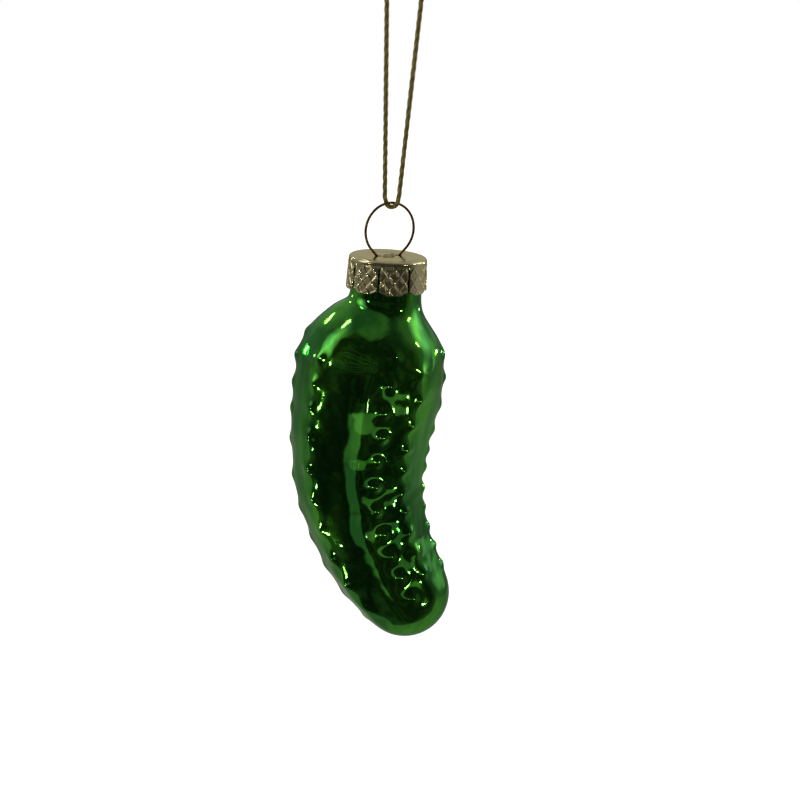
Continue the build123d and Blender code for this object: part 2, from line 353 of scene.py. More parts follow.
# Spread of the single warts: drift down the body in millimetres and round it in degrees, then shares
# of the foot, of the height and of the foot's length; all are equally steep, and the skin's radius
# counts as no less than the last value
WART_DRIFT = (-0.3, 0.3)
WART_SLIP = (-1.5, 1.5)
WART_FEET = (0.8, 1.1)
WART_HEIGHTS = (0.8, 1.12)
WART_LENGTHS = (0.95, 1.25)
WART_STEEPNESS = 2.4
WART_LEAST_RADIUS = 2.0

# Mesh of the glass: steps down its middle line, columns round it, and rows of its stretches
LINE_STEPS = 4000
GLASS_COLUMNS = 240
SKIN_ROWS = 190
BLOSSOM_ROWS = 24
NECK_ROWS = 13
BORE_ROWS = 6
HOLLOW_ROWS = 50
HOLLOW_TIP_ROWS = 10

# Softening of the shoulder: rows of the neck that take part, rows in all, and rounds
SHOULDER_NECK_ROWS = 6
SHOULDER_ROWS = 18
SHOULDER_ROUNDS = 12

# Stations of the skin down the middle line: drops, radii and slopes
STATION_DROPS = np.array(
    [0.0, 3.5, 7.5, 13.0, 20.0, BODY_LENGTH, (BODY_LENGTH + TIP_DROP) / 2, JOIN_DROP])
STATION_RADII = np.array(
    [NECK_RADIUS, 10.5, 13.65, 15.45, 15.6, 14.95, 12.8, TIP_RADIUS * math.cos(TIP_TAPER)])
STATION_SLOPES = np.concatenate((
    [NECK_SLOPE],
    (STATION_RADII[2:] - STATION_RADII[:-2]) / (STATION_DROPS[2:] - STATION_DROPS[:-2]),
    [-math.tan(TIP_TAPER)]))


def skin_radius(drop):
    """Radius of the skin at distances down the middle line."""
    leg = np.clip(np.searchsorted(STATION_DROPS, drop, side="right") - 1, 0, len(STATION_DROPS) - 2)
    span = STATION_DROPS[leg + 1] - STATION_DROPS[leg]
    t = (drop - STATION_DROPS[leg]) / span
    swell = span * (t * (1 - t) ** 2 * STATION_SLOPES[leg] + t * t * (t - 1) * STATION_SLOPES[leg + 1])
    start, end = (1 + 2 * t) * (1 - t) ** 2, t * t * (3 - 2 * t)
    body = start * STATION_RADII[leg] + end * STATION_RADII[leg + 1] + swell
    dome = np.sqrt(np.maximum(TIP_RADIUS ** 2 - (drop - TIP_DROP) ** 2, 0))
    return np.where(drop > JOIN_DROP, dome, body)


def middle_line(drop):
    """Centres and headings of the pickle's middle line, which leans left, then bends to the right."""
    fine = np.linspace(0, TIP_DROP + TIP_RADIUS, LINE_STEPS)
    turn = np.radians(-BODY_LEAN + BODY_ARCH * np.minimum(fine / BODY_LENGTH, 1.0))
    turn = turn + np.clip((fine - BODY_LENGTH) / BEND_RADIUS, 0, BEND_ANGLE)
    step = np.diff(fine, prepend=0)
    x = np.interp(drop, fine, BODY_OFFSET + np.cumsum(np.sin(turn) * step))
    z = np.interp(drop, fine, NECK_BASE - np.cumsum(np.cos(turn) * step))
    sway = np.minimum(drop / SWAY_DROP, 1.0)
    off_neck = sway * sway * (3 - 2 * sway)
    heading = np.interp(drop, fine, turn)
    hx = np.sin(heading) * off_neck
    hz = -(1 - off_neck) - np.cos(heading) * off_neck
    size = np.hypot(hx, hz)
    return x * off_neck, z, hx / size, hz / size


def skin_points(drop, turn, radius):
    """Points round the middle line: a turn of 0 is the back, a quarter the right, a half the front."""
    x, z, hx, hz = middle_line(drop)
    out = np.sin(turn) * radius
    aside, down = x[:, None] - hz[:, None] * out, z[:, None] + hx[:, None] * out
    return np.stack((aside, np.cos(turn) * radius, down), axis=-1)


def wart_relief(drop, turn, base):
    """Height of the skin's relief: columns of warts on soft ribs, the uneven mould and the wavy wall."""
    height = sizes().wart_height / MM
    foot = sizes().wart_radius / MM
    pitch = sizes().wart_pitch / MM
    s, a = np.meshgrid(drop, turn, indexing="ij")
    girth = np.maximum(base, WART_LEAST_RADIUS)[:, None]
    fade = rise(s, *RELIEF_START) * fall(s, *RELIEF_END)
    relief = sizes().rib_height / MM * fade * (np.cos(WART_COLUMNS * a) - RIB_SINK)
    swell = SWELL_RATE * s + SWELL_WANDER * np.sin(2 * a) + SWELL_START
    relief += SWELL_HEIGHT * fade * np.sin(swell) * np.cos(3 * a + SWELL_TWIST * s)
    pick = random.Random(RELIEF_SEED)
    for _ in range(WALL_WAVES):
        length = pick.uniform(*WAVE_LENGTHS)
        lie = pick.uniform(0, math.pi)
        count = round(2 * math.pi * WAVE_RADIUS / length * math.cos(lie))
        along = 2 * math.pi / length * math.sin(lie)
        wave = np.sin(count * a + along * s + pick.uniform(*WAVE_PHASES))
        relief += WAVE_HEIGHT * length * fade * wave
    for column in range(WART_COLUMNS):
        column_turn = 360 / WART_COLUMNS * column + FRONT_TURN * (column == FRONT_COLUMN)
        place = WART_FIRST + (column % 2) * pitch / 2
        while place < WART_LAST:
            wart_drop = place + pick.uniform(*WART_DRIFT)
            wart_turn = math.radians(column_turn + pick.uniform(*WART_SLIP))
            wart_foot = foot * pick.uniform(*WART_FEET)
            wart_height = height * pick.uniform(*WART_HEIGHTS)
            stretch = pick.uniform(*WART_LENGTHS)
            place += pitch
            around = (a - wart_turn + math.pi) % (2 * math.pi) - math.pi
            away = (((s - wart_drop) / stretch) ** 2 + (around * girth) ** 2) / wart_foot ** 2
            relief += wart_height * np.exp(-WART_STEEPNESS * away)
    return relief


class ORNAMENT_OT_glass_body(bpy.types.Operator):
    """Blown-glass pickle with its neck, warts and hollow"""
    bl_idname = "ornament.glass_body"
    bl_label = "Glass pickle"

    def execute(self, context):
        turn = np.arange(GLASS_COLUMNS) * 2 * math.pi / GLASS_COLUMNS
        collar = self.collar(turn)
        # The neck runs into the shoulder in a soft curve
        skin = np.concatenate((collar[-SHOULDER_NECK_ROWS:], self.skin(turn)))
        soft = SHOULDER_ROWS
        for _ in range(SHOULDER_ROUNDS):
            skin[1:soft] = (skin[:soft - 1] + 2 * skin[1:soft] + skin[2:soft + 1]) / 4
        grid = np.concatenate((self.hollow(turn), collar[:-SHOULDER_NECK_ROWS], skin))
        faces = ring_faces(len(grid), GLASS_COLUMNS)
        points = grid.reshape(-1, 3)
        # Inside and outside each close in one point at the blossom end
        tip = TIP_DROP + TIP_RADIUS
        ends = skin_points(np.array([tip - GLASS_WALL, tip - SKIN_SINK]), np.zeros(1), np.zeros((2, 1)))
        last = len(points) - GLASS_COLUMNS
        for col in range(GLASS_COLUMNS):
            after = (col + 1) % GLASS_COLUMNS
            faces.append((len(points), after, col))
            faces.append((last + col, last + after, len(points) + 1))
        points = np.concatenate((points, ends.reshape(-1, 3)))
        piece("glass_pickle", points, faces, silvered_blown_glass(), "glass",
              "glass_body")
        return {"FINISHED"}

    def collar(self, turn):
        """Rings of the neck: up its bore, over the rounded lip and down its outside."""
        round_foot, corner = MOUTH - LIP_ROUND, MOUTH - LIP_CORNER_DOWN
        profile = [(NECK_BORE, z) for z in np.linspace(NECK_BASE, MOUTH - 2 * LIP_ROUND, BORE_ROWS)]
        profile += [(NECK_BORE, round_foot), (NECK_BORE + LIP_CORNER_IN, corner),
                    (NECK_BORE + LIP_ROUND, MOUTH), (NECK_RADIUS - LIP_ROUND, MOUTH),
                    (NECK_RADIUS - LIP_CORNER_IN, corner)]
        profile += [(NECK_RADIUS, z) for z in np.linspace(round_foot, NECK_BASE, NECK_ROWS + 1)[:-1]]
        return np.array([[(r * math.sin(t), r * math.cos(t), z) for t in turn] for r, z in profile])

    def skin(self, turn):
        """Rings of the outside, from the neck down to the blossom end."""
        dome = np.linspace(TIP_TAPER, math.pi / 2, BLOSSOM_ROWS + 2)[1:-1]
        body_drop = np.linspace(0, JOIN_DROP, SKIN_ROWS)
        drop = np.concatenate((body_drop, TIP_DROP + TIP_RADIUS * np.sin(dome)))
        base = skin_radius(drop)
        return skin_points(drop, turn, base[:, None] - SKIN_SINK + wart_relief(drop, turn, base))

    def hollow(self, turn):
        """Rings of the inside, from the blossom end up to the neck."""
        dome = np.linspace(math.pi / 2, TIP_TAPER, HOLLOW_TIP_ROWS + 2)[1:-1]
        dome_radius = TIP_RADIUS - GLASS_WALL
        body_drop = np.linspace(HOLLOW_FOOT, HOLLOW_TOP, HOLLOW_ROWS)
        drop = np.concatenate((TIP_DROP + dome_radius * np.sin(dome), body_drop))
        radius = np.concatenate((dome_radius * np.cos(dome), skin_radius(body_drop) - GLASS_WALL))
        return skin_points(drop, turn, radius[:, None])


# Shape of the cap, in millimetres and degrees, which follows the solid of the part
CAP_SHEET = 0.35
CAP_TOP = MOUTH + CAP_SHEET
CAP_HEIGHT = 6.9
CAP_RADIUS = 8.2
CAP_FLARE = 0.3
CAP_EDGE = 0.65
TABS = 8
TAB_TURN = 360 / TABS
TAB_PHASE = 34.5
SLIT_WIDTH = 0.55
SLIT_RADIUS = CAP_RADIUS + 0.2
SLIT_HEAD = 1.6
NOTCH_RISE = 0.7
NOTCH_HALF = 1.8
HANGER_TURN = math.radians(30.0)
HOLE_OFFSET = 2.45
HOLE_RADIUS = 0.7
DRILL_LENGTH = 3.0
DRILL_SIDES = 40

# Pressed forms of the cap's top: heights, and edges with the reach of the slope there
SADDLE_RISE = 0.47
SADDLE_END = (1.5, 0.3)
SADDLE_SIDE = (0.62, 0.16)
DISH_DEPTH = 0.12
DISH_INSIDE = (3.4, 2.2)
DISH_OUTSIDE = (7.2, 1.2)

# Diamonds stamped into the skirt: their size, how their lines rise, the shares of the skirt's height
# where the stamping starts and ends, how far the cells sink, and the tab at the front right where the
# stamp hardly took
DIAMOND_WIDTH = 2.3
DIAMOND_HEIGHT = 3.0
DIAMOND_LINE = (0.62, 0.3)
LINE_SHARPNESS = 1.5
STAMP_TOP = (0.05, 0.06)
STAMP_FOOT = (1.0, 0.05)
CELL_SINK = 0.75
FAINT_TAB = 6
FAINT_STRIKE = 0.25

# How burnished the sheet is on its top, in the cells of the stamping and where it stayed plain; the same
# values also set its colour, as painted shade in the cells and painted light on the saddle and the plain
# tab
TOP_BURNISH = 0.75
CELL_BURNISH = 0.2
PLAIN_BURNISH = 0.95

# Mesh of the cap: columns in a slit and in a tab, and rows of the top, the rounded edge and the skirt
SLIT_COLUMNS = 2
TAB_COLUMNS = 42
TOP_ROWS = 25
EDGE_ROWS = 9
SKIRT_ROWS = 57
TOP_EYE = 0.25


def diamonds(arc, level):
    """Raised lines of the pressed diamonds, from 0 in a cell to 1 on a line."""
    one = np.abs((arc / DIAMOND_WIDTH + level / DIAMOND_HEIGHT) % 1 - 0.5) * 2
    two = np.abs((arc / DIAMOND_WIDTH - level / DIAMOND_HEIGHT) % 1 - 0.5) * 2
    return rise(np.maximum(one, two), *DIAMOND_LINE) ** LINE_SHARPNESS


class ORNAMENT_OT_cap(bpy.types.Operator):
    """Stamped cap with a slit, embossed skirt, a pressed saddle and two leg holes"""
    bl_idname = "ornament.cap"
    bl_label = "Cap"

    def execute(self, context):
        half = math.degrees(SLIT_WIDTH / 2 / SLIT_RADIUS)
        sector = np.concatenate((np.linspace(-half, half, SLIT_COLUMNS + 1)[:-1],
                                 np.linspace(half, TAB_TURN - half, TAB_COLUMNS + 1)[:-1]))
        turn = np.radians(np.concatenate([TAB_PHASE + TAB_TURN * tab + sector for tab in range(TABS)]))
        columns = len(turn)
        head = (SLIT_HEAD - CAP_EDGE) / (CAP_HEIGHT - CAP_EDGE)
        down = np.unique(np.concatenate((np.linspace(0, 1, SKIRT_ROWS + 1)[1:], [head])))
        top, top_burnish = self.top(turn)
        skirt, skirt_burnish = self.skirt(turn, down)
        rows = top + skirt
        open_from = len(top) + np.searchsorted(down, head)
        faces = []
        for row in range(len(rows) - 1):
            for col in range(columns):
                if row >= open_from and col % len(sector) < SLIT_COLUMNS:
                    continue
                a = row * columns + col
                b = row * columns + (col + 1) % columns
                faces.append((a, a + columns, b + columns, b))
        centre = len(rows) * columns
        for col in range(columns):
            faces.append((col, (col + 1) % columns, centre))
        points = np.concatenate(rows + [[[0, 0, CAP_TOP + SADDLE_RISE]]])
        cap = piece("stamped_cap", points, faces, stamped_champagne_sheet(), "cap",
                    "cap")
        burnish = np.concatenate(top_burnish + skirt_burnish + [[1.0]])
        # The burnish goes on as the raised attribute, and it also carries the sheet's painted shade and
        # painted light
        layer = cap.data.attributes.new("raised", "FLOAT", "POINT")
        layer.data.foreach_set("value", burnish.astype(np.float32))
        self.thicken_and_drill(context, cap)
        return {"FINISHED"}

    def top(self, turn):
        """Rows of the top with its pressed forms and rounded edge, and how burnished each is, which also
        sets its painted light and shade.
        """
        flat = [(r, CAP_TOP) for r in np.linspace(TOP_EYE, CAP_RADIUS - CAP_EDGE, TOP_ROWS + 1)[:-1]]
        edge = [(CAP_RADIUS - CAP_EDGE * (1 - math.sin(t)), CAP_TOP - CAP_EDGE * (1 - math.cos(t)))
                for t in np.linspace(0, math.pi / 2, EDGE_ROWS)]
        saddle_x, saddle_y = math.cos(HANGER_TURN), math.sin(HANGER_TURN)
        rows, burnish = [], []
        for r, z in flat + edge:
            x, y = r * np.cos(turn), r * np.sin(turn)
            along = np.abs(x * saddle_x + y * saddle_y)
            side = np.abs(-x * saddle_y + y * saddle_x)
            saddle = fall(along, *SADDLE_END) * fall(side, *SADDLE_SIDE)
            dish = -DISH_DEPTH * rise(r, *DISH_INSIDE) * fall(r, *DISH_OUTSIDE)
            rows.append(np.stack((x, y, z + SADDLE_RISE * saddle + dish), axis=-1))
            burnish.append(TOP_BURNISH + (1 - TOP_BURNISH) * saddle)
        return rows, burnish

    def skirt(self, turn, down):
        """Rows of the stamped skirt at shares of the way down, and how burnished each is, which also
        sets the painted shade in the cells and the painted light on the plain tab.
        """
        top = CAP_TOP - CAP_EDGE
        past = np.degrees(turn) - TAB_PHASE
        # The skirt's edge rises in a shallow notch at each slit
        to_slit = np.abs((past + TAB_TURN / 2) % TAB_TURN - TAB_TURN / 2)
        notch = NOTCH_RISE * np.clip(1 - (np.radians(to_slit) * CAP_RADIUS / NOTCH_HALF) ** 2, 0, 1)
        foot = CAP_TOP - CAP_HEIGHT + notch
        faint = past % 360 // TAB_TURN == FAINT_TAB
        depth = sizes().emboss_height / MM * np.where(faint, FAINT_STRIKE, 1.0)
        rows, burnish = [], []
        for t in down:
            level = top + (foot - top) * t
            band = rise(t, *STAMP_TOP) * fall(t, *STAMP_FOOT)
            line = diamonds(turn * CAP_RADIUS, level) * band
            r = CAP_RADIUS + CAP_FLARE * (top - level) / CAP_HEIGHT + depth * (line - CELL_SINK * band)
            rows.append(np.stack((r * np.cos(turn), r * np.sin(turn), level), axis=-1))
            # Painted shade: the cells take a low value, which darkens their colour; the plain tab takes
            # a high one, which is painted light
            stamped = CELL_BURNISH + (1 - CELL_BURNISH) * line
            burnish.append(np.where(faint | (band == 0), PLAIN_BURNISH, stamped))
        return rows, burnish

    def thicken_and_drill(self, context, cap):
        """The surface made into sheet, with the two leg holes through it."""
        sheet = cap.modifiers.new("sheet", "SOLIDIFY")
        sheet.thickness = CAP_SHEET * MM
        sheet.offset = -1
        drills = []
        for side in (-1, 1):
            bpy.ops.mesh.primitive_cylinder_add(
                vertices=DRILL_SIDES, radius=HOLE_RADIUS * MM, depth=DRILL_LENGTH * MM,
                location=[c * MM for c in turned(side * HOLE_OFFSET, CAP_TOP, HANGER_TURN)])
            drill = context.object
            hole = cap.modifiers.new("leg_hole", "BOOLEAN")
            hole.operation = "DIFFERENCE"
            hole.solver = "EXACT"
            hole.object = drill
            drills.append(drill)
        done = bpy.data.meshes.new_from_object(cap.evaluated_get(context.evaluated_depsgraph_get()))
        cap.modifiers.clear()
        cap.data = done
        for drill in drills:
            bpy.data.objects.remove(drill)


def lengths_along(path):
    """Length of a path up to each of its points."""
    return np.concatenate(([0], np.cumsum(np.linalg.norm(np.diff(path, axis=0), axis=1))))


# A direction that no wire or cord starts along
ASIDE = (0.3, 0.8, 0.52)


def cross_frames(path):
    """Two directions square to a path at each of its points, carried along it without twist."""
    tangent = np.gradient(path, axis=0)
    tangent /= np.linalg.norm(tangent, axis=1)[:, None]
    across = np.cross(tangent[0], ASIDE)
    one = []
    for way in tangent:
        across = across - way * np.dot(across, way)
        across = across / np.linalg.norm(across)
        one.append(across)
    return np.array(one), np.cross(tangent, one)


def tube(path, radius, sides, first):
    """Points, faces, lengths along and shares of the way round of a tube with closed ends."""
    one, two = cross_frames(path)
    angle = np.arange(sides) * 2 * math.pi / sides
    ring = np.cos(angle)[:, None] * one[:, None] + np.sin(angle)[:, None] * two[:, None]
    points = (path[:, None] + radius * ring).reshape(-1, 3)
    faces = ring_faces(len(path), sides, first)
    faces.append(tuple(range(first, first + sides))[::-1])
    faces.append(tuple(range(first + len(points) - sides, first + len(points))))
    shares = np.tile(angle / (2 * math.pi), len(path))
    return points, faces, np.repeat(lengths_along(path), sides), shares


def tubes_piece(name, paths, radius, sides, finish, body, solid):
    """Several tubes as one piece, with a map of share of the way round and length along."""
    points, faces, lengths, shares = [], [], [], []
    for path in paths:
        made = tube(path, radius, sides, sum(len(p) for p in points))
        for store, part in zip((points, faces, lengths, shares), made):
            store.append(part)
    shape = piece(name, np.concatenate(points), [f for part in faces for f in part], finish, body,
                  solid)
    length, share = np.concatenate(lengths) * MM, np.concatenate(shares)
    layer = shape.data.uv_layers.new(name="along")
    for poly in shape.data.polygons:
        corners = [shape.data.loops[i].vertex_index for i in poly.loop_indices]
        wraps = max(share[c] for c in corners) - min(share[c] for c in corners) > 0.5
        for i, corner in zip(poly.loop_indices, corners):
            past = 1.0 if wraps and share[corner] < 0.5 else 0.0
            layer.data[i].uv = (share[corner] + past, length[corner])
    return shape


# Hang and bends of the hanger wire, in millimetres, as in the part's source
CORD_DROP = 55.0
RING_RADIUS = 5.7
RING_LEVEL = -CORD_DROP - RING_RADIUS
LEG_SLOPE = math.radians(45.0)
LEG_PLAY = 0.25
KNEE_DROP = 1.3
KNEE_RADIUS = 0.9
FOOT_DROP = 8.6
FOOT_RADIUS = 1.2
TOE_DROP = 10.2
TOE_TUCK = 1.0
# Mesh of the wire: sides, and points on the loop and on each bend
WIRE_SIDES = 16
LOOP_POINTS = 72
BEND_POINTS = 10


class ORNAMENT_OT_hanger_wire(bpy.types.Operator):
    """Bent wire: a round loop and two legs that spring out inside the neck"""
    bl_idname = "ornament.hanger_wire"
    bl_label = "Hanger wire"

    def execute(self, context):
        radius = sizes().wire_diameter / 2 / MM
        leg_start = (RING_RADIUS * math.cos(LEG_SLOPE), -RING_RADIUS * math.sin(LEG_SLOPE))
        sheet = leg_start[1] - (leg_start[0] - HOLE_OFFSET) / math.tan(LEG_SLOPE)
        knee = (HOLE_OFFSET - KNEE_DROP * math.tan(LEG_SLOPE), sheet - KNEE_DROP)
        foot = (NECK_BORE - radius - LEG_PLAY, sheet - FOOT_DROP)
        toe = (foot[0] - TOE_TUCK, sheet - TOE_DROP)
        leg = [toe, *self.bend(toe, foot, knee, FOOT_RADIUS),
               *self.bend(foot, knee, leg_start, KNEE_RADIUS)]
        loop = [(RING_RADIUS * math.cos(t), RING_RADIUS * math.sin(t))
                for t in np.linspace(-LEG_SLOPE, math.pi + LEG_SLOPE, LOOP_POINTS)]
        flat = leg + loop + [(-x, y) for x, y in reversed(leg)]
        path = np.array([turned(x, RING_LEVEL + y, HANGER_TURN) for x, y in flat])
        tubes_piece("hanger_loop", [path], radius, WIRE_SIDES, drawn_gilt_wire(), "hanger",
                    "hanger_wire")
        return {"FINISHED"}

    def bend(self, before, corner, after, radius):
        """Points of the arc that rounds a corner of the wire."""
        into = np.subtract(corner, before) / np.linalg.norm(np.subtract(corner, before))
        out = np.subtract(after, corner) / np.linalg.norm(np.subtract(after, corner))
        half = math.acos(np.clip(np.dot(into, out), -1, 1)) / 2
        reach = radius * math.tan(half)
        middle = np.array(corner) + (out - into) / np.linalg.norm(out - into) * radius / math.cos(half)
        start, end = np.array(corner) - into * reach, np.array(corner) + out * reach
        points = []
        for share in np.linspace(0, 1, BEND_POINTS):
            way = (start - middle) * (1 - share) + (end - middle) * share
            points.append(middle + way / np.linalg.norm(way) * radius)
        return points


CORD_TURN = math.radians(-25.0)
# Route of the cord in its own plane, in millimetres: the corners of the part's source, with
# one more point on each long straight strand near the ring and near the top of the loop
CORD_HALF = [(0.5, 1.0), (3.1, -0.7), (4.3, -5.9), (4.0, -11.2), (1.8, -50.4), (1.5, -55.9)]
# Plies of the cord: radius of one as a share of the cord's, step along it in millimetres, and sides
PLY_SHARE = 0.54
PLY_STEP = 0.22
PLY_SIDES = 10


def spun(path, radius):
    """Paths of the cord's plies, twisted round a path at a radius."""
    length = lengths_along(path)
    even = np.arange(0, length[-1], PLY_STEP)
    line = np.stack([np.interp(even, length, path[:, i]) for i in range(3)], axis=-1)
    one, two = cross_frames(line)
    plies = []
    for ply in range(sizes().cord_plies):
        turn = 2 * math.pi * (even / (sizes().cord_lay / MM) + ply / sizes().cord_plies)
        plies.append(line + radius * (np.cos(turn)[:, None] * one + np.sin(turn)[:, None] * two))
    return plies


def cord_piece(name, runs, solid):
    """Twisted cord along one or more runs, as one piece."""
    radius = sizes().cord_diameter / 2 / MM
    ply = radius * PLY_SHARE
    plies = [path for run in runs for path in spun(run, radius - ply)]
    return tubes_piece(name, plies, ply, PLY_SIDES, metallic_yarn(), "cord", solid)


# Knot of the cord, in millimetres: the wraps of one strand, the other strand that runs up through
# them, and the bend and the end of each tail as half widths and levels
WRAP_RADIUS = 0.74
WRAP_TURNS = 2.15
WRAP_PITCH = 0.68
WRAP_FOOT = 0.95
CORE_FOOT = (-0.45, 0.2, WRAP_FOOT)
CORE_TOP = (-0.1, 0.05, 2.1)
TAIL_BEND = (0.9, 3.4)
TAIL_END = (2.9, 7.3)
# Points on the wraps, on the other strand and on each tail
WRAP_POINTS = 90
CORE_POINTS = 12
TAIL_POINTS = 40


class ORNAMENT_OT_cord_knot(bpy.types.Operator):
    """Knot of the cord: two wraps of one strand round the other, and the two tails"""
    bl_idname = "ornament.cord_knot"
    bl_label = "Cord knot"

    def execute(self, context):
        turns = np.linspace(0, WRAP_TURNS, WRAP_POINTS)
        angle = CORD_TURN + 2 * math.pi * turns
        wrap = np.stack((WRAP_RADIUS * np.cos(angle), WRAP_RADIUS * np.sin(angle),
                         WRAP_FOOT + WRAP_PITCH * turns), axis=-1)
        core = np.linspace(CORE_FOOT, CORE_TOP, CORE_POINTS)
        runs = [np.concatenate((strand, self.tail(strand[-1], side)))
                for strand, side in ((wrap, 1), (core, -1))]
        cord_piece("cord_tie", runs, "cord_knot")
        return {"FINISHED"}

    def tail(self, start, side):
        """Points of a tail past the end of its strand."""
        (bend_x, bend_z), (end_x, end_z) = TAIL_BEND, TAIL_END
        bend = np.array(turned(side * bend_x, bend_z, CORD_TURN))
        end = np.array(turned(side * end_x, end_z, CORD_TURN))
        share = np.linspace(0, 1, TAIL_POINTS)[1:, None]
        return (1 - share) ** 2 * start + 2 * share * (1 - share) * bend + share ** 2 * end


class ORNAMENT_OT_hanging_cord(bpy.types.Operator):
    """Loop of twisted metallic cord through the wire loop"""
    bl_idname = "ornament.hanging_cord"
    bl_label = "Hanging cord"

    def execute(self, context):
        flat = CORD_HALF + [(-x, z) for x, z in reversed(CORD_HALF)]
        curve = bpy.data.curves.new("cord_route", "CURVE")
        curve.dimensions = "3D"
        curve.resolution_u = 24
        spline = curve.splines.new("NURBS")
        spline.points.add(len(flat) - 1)
        for point, (x, z) in zip(spline.points, flat):
            point.co = (*[c * MM for c in turned(x, z, CORD_TURN)], 1)
        spline.order_u = 3
        spline.use_endpoint_u = True
        route = bpy.data.objects.new("cord_route", curve)
        context.scene.collection.objects.link(route)
        context.view_layer.update()
        line = bpy.data.meshes.new_from_object(route.evaluated_get(context.evaluated_depsgraph_get()))
        path = np.array([v.co for v in line.vertices]) / MM
        bpy.data.objects.remove(route)
        bpy.data.meshes.remove(line)
        cord = cord_piece("hanging_loop", [path], "hanging_cord")
        return {"FINISHED"}


# Floor, in metres
FLOOR_PLACE = (0, 0.87, -0.24)
FLOOR_SIZE = (2.4, 1.8, 1)

# Light of the room at depths from straight in front of the ornament, 0, to straight behind it, 1:
# below its level, above its level, and the levels between which one turns into the other
ROOM_BELOW = ((0.0, 0.02), (0.3, 0.025), (0.5, 0.16), (0.72, 0.3), (0.88, 0.26), (0.95, 0.2),
              (0.975, 0.05))
ROOM_ABOVE = ((0.0, 0.02), (0.3, 0.03), (0.5, 0.18), (0.72, 0.3), (0.88, 0.36), (0.95, 0.42),
              (0.98, 0.46))
ROOM_TURNOVER = (-0.05, 0.15)

# Panels of the room: middle and half width as turns, lower and upper level, softness, radiance
ROOM_PANELS = ((-0.3, 0.33, -0.66, -0.34, 0.04, 0.3),
               (-1.41, 0.2, 0.16, 0.74, 0.16, 2.1),
               (2.05, 0.22, 0.16, 0.6, 0.16, 2.1),
               (2.25, 0.05, -0.75, 0.15, 0.03, 0.75))
PANEL_BLUE = 0.95

# Dim shapes in the room, a blind high in it that is given as a panel is, how closely its slats follow
# each other, and the ceiling with the levels between which it starts
CLUTTER_LIGHT = (0.055, 0.05, 0.032, 1)
BLIND = (-0.25, 0.6, 0.08, 0.48, 0.04)
BLIND_LIGHT = (0.2, 0.2, 0.19, 1)
SLAT_WAVES = 110.0
CEILING_LIGHT = (0.22, 0.22, 0.2, 1)
CEILING_START = (0.86, 0.92)

# Soft boxes and small bulbs: name, direction from the ornament, distance, width, height, radiance
LAMPS = (("low_bar", (0.211, -0.85, -0.36), 0.172, 0.27, 0.021, 0.3),
         ("back_left", (-0.62, 0.61, 0.49), 0.5, 0.06, 0.03, 16.0),
         ("top_back", (-0.35, 0.46, 0.82), 0.5, 0.04, 0.03, 16.0),
         ("top_left", (-0.55, 0.02, 0.83), 0.5, 0.03, 0.06, 16.0),
         ("right_high", (0.83, 0.07, 0.55), 0.5, 0.03, 0.07, 18.0),
         ("left_back", (-0.78, 0.62, 0.03), 0.5, 0.012, 0.05, 16.0),
         ("left_bulb_top", (-0.78, -0.57, 0.2), 0.5, 0.016, 0.03, 60.0),
         ("left_bulb_high", (-0.8, -0.42, -0.25), 0.3, 0.01, 0.01, 90.0),
         ("left_bulb_low", (-0.78, -0.35, -0.5), 0.26, 0.009, 0.009, 90.0),
         ("left_bulb_foot", (-0.55, -0.4, -0.73), 0.18, 0.006, 0.006, 90.0),
         ("right_bulb_low", (0.74, -0.55, -0.33), 0.3, 0.009, 0.009, 90.0),
         ("right_bulb_high", (0.76, -0.49, 0.42), 0.5, 0.02, 0.02, 60.0),
         ("right_back_bulb", (0.7, 0.68, 0.02), 0.5, 0.02, 0.02, 60.0),
         ("front_bulb", (0.16, -0.9, -0.3), 0.6, 0.014, 0.014, 60.0))
LAMP_COLOUR = (1.0, 0.95, 0.82)
LAMP_AIM = Vector((0, 0, -0.1))

# Camera: where it looks and how far off it stands, in metres, its lens, its rise and its roll
CAMERA_AIM = Vector((4.41, 0, -97.06)) * MM
CAMERA_DISTANCE = 0.43
CAMERA_LENS = 91.0
CAMERA_RISE = math.radians(14.5)
CAMERA_ROLL = math.radians(3.7)


def panel(tree, turn, way, middle, half, low, high, soft):
    """Share of a panel in the room: middle and half width as turns, levels, softness of its edges."""
    shares = []
    for place, centre, reach in ((turn.outputs["Value"], middle, half),
                                 (way.outputs["Z"], (low + high) / 2, (high - low) / 2)):
        aside = node(tree, "ShaderNodeMath", {"operation": "SUBTRACT", 1: centre}, {0: place})
        away = node(tree, "ShaderNodeMath", {"operation": "ABSOLUTE"}, {0: aside.outputs["Value"]})
        inside = node(tree, "ShaderNodeMapRange", {"From Min": reach + soft, "From Max": reach - soft},
                      {"Value": away.outputs["Value"]})
        shares.append(inside.outputs["Result"])
    both = node(tree, "ShaderNodeMath", {"operation": "MULTIPLY"}, {0: shares[0], 1: shares[1]})
    return both.outputs["Value"]


